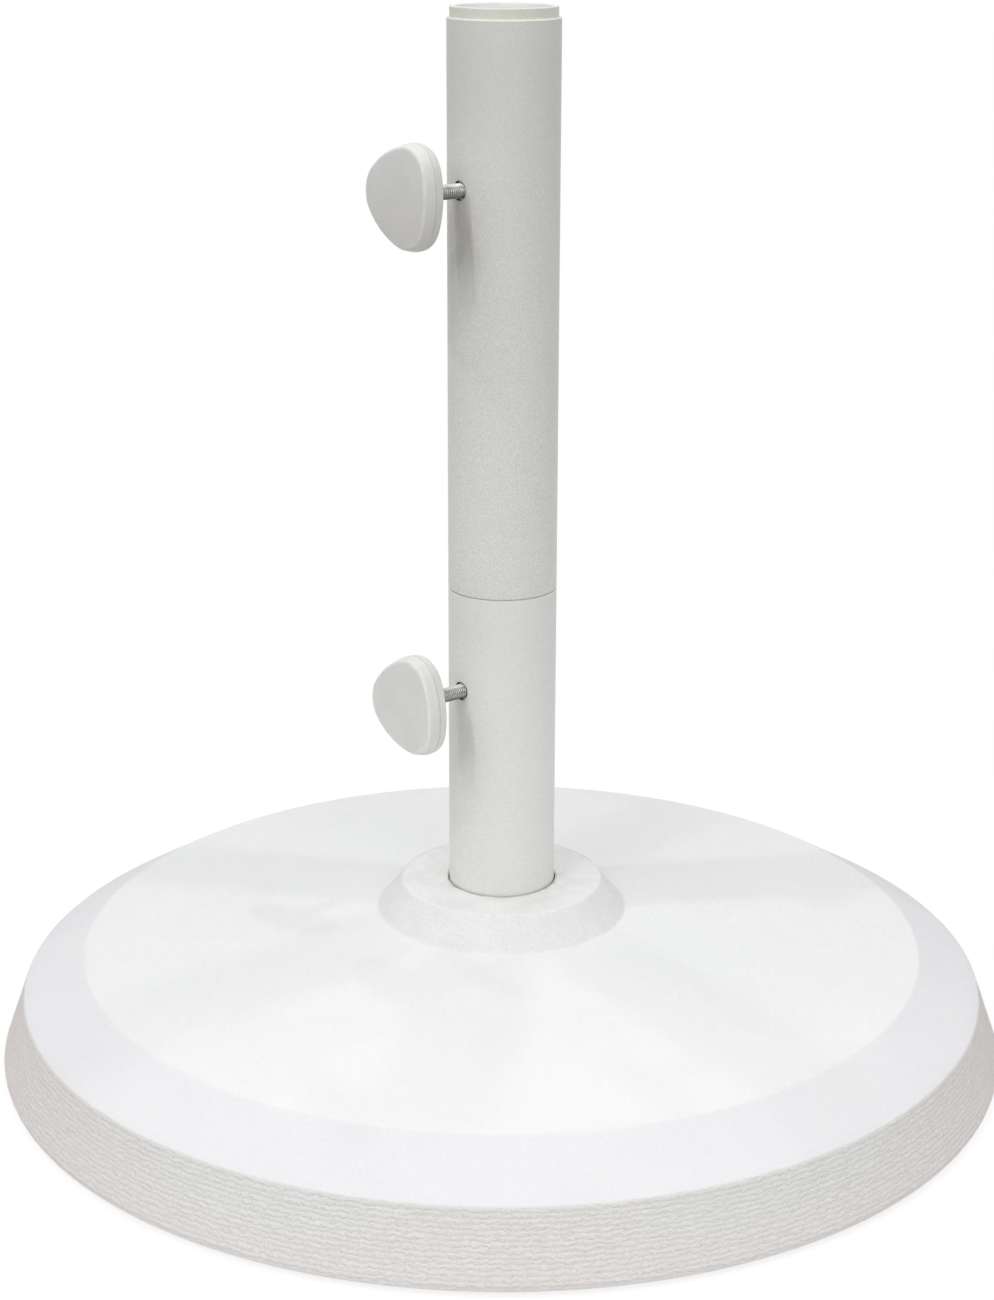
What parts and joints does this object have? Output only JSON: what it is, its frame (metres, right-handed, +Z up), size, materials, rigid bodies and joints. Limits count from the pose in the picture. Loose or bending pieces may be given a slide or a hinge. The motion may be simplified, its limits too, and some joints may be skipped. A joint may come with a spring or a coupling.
{
  "type": "parasol base",
  "caption": "Round cast-concrete parasol base with a stacked steel tube; clamp knobs screw in through the tube wall to hold the pole.",
  "frame": {"origin": "on the floor at the centre of the plate's underside, below the tube's axis", "axes": "+Z up along the tube's axis, -Y towards the lower clamp knob"},
  "size_m": [0.5736, 0.5736, 0.5837],
  "materials": {
    "white_concrete": "painted cast concrete, matte",
    "foot_rubber": "matte",
    "grey_powder_coat": "fine orange-peel powder coat",
    "zinc_steel": "zinc plated",
    "ivory_plastic": "moulded, matte",
    "white_plastic": "moulded, fine matte",
    "black_plastic": "moulded, matte"
  },
  "bodies": {
    "base": {"concrete_base": "white_concrete", "foot_pads": "foot_rubber", "lower_tube": "grey_powder_coat", "tube_end_plate": "zinc_steel", "anchor_nut": "zinc_steel", "anchor_washer": "zinc_steel", "anchor_spring_washer": "zinc_steel", "anchor_bolt": "zinc_steel", "pole_rest": "black_plastic", "lower_clamp_nut": "zinc_steel"},
    "sleeve": {"joint_sleeve": "ivory_plastic"},
    "upper": {"upper_tube": "grey_powder_coat", "top_bush": "ivory_plastic", "upper_clamp_nut": "zinc_steel"},
    "lower_pad": {"lower_thrust_pad": "black_plastic"},
    "lower_knob": {"lower_knob_body": "white_plastic", "lower_knob_cap": "white_plastic", "lower_clamp_stud": "zinc_steel"},
    "upper_pad": {"upper_thrust_pad": "black_plastic"},
    "upper_knob": {"upper_knob_body": "white_plastic", "upper_knob_cap": "white_plastic", "upper_clamp_stud": "zinc_steel"}
  },
  "joints": [
    {"name": "upper_swivel", "type": "hinge", "parent": "base", "child": "sleeve", "pos_m": [0, 0, 0.272], "axis": [0, 0, 1], "continuous": true},
    {"name": "upper_lift", "type": "slide", "parent": "sleeve", "child": "upper", "axis": [0, 0, 1], "range_m": [0, 0.065]},
    {"name": "lower_knob_travel", "type": "slide", "parent": "base", "child": "lower_pad", "axis": [0, -1, 0], "range_m": [-0.02851, 0.00151]},
    {"name": "lower_knob_turn", "type": "hinge", "parent": "lower_pad", "child": "lower_knob", "pos_m": [0, 0, 0.2163], "axis": [0, -1, 0], "range_deg": [-8208, 432]},
    {"name": "upper_knob_travel", "type": "slide", "parent": "upper", "child": "upper_pad", "axis": [-0.0175, -0.9998, 0], "range_m": [-0.02789, 0.00214]},
    {"name": "upper_knob_turn", "type": "hinge", "parent": "upper_pad", "child": "upper_knob", "pos_m": [0, 0, 0.491], "axis": [-0.0175, -0.9998, 0], "range_deg": [-8028, 612]}
  ],
  "couplings": [
    {"joint": "lower_knob_travel", "follows": "lower_knob_turn", "m_per_rad": 0.00019894},
    {"joint": "upper_knob_travel", "follows": "upper_knob_turn", "m_per_rad": 0.00019894}
  ]
}
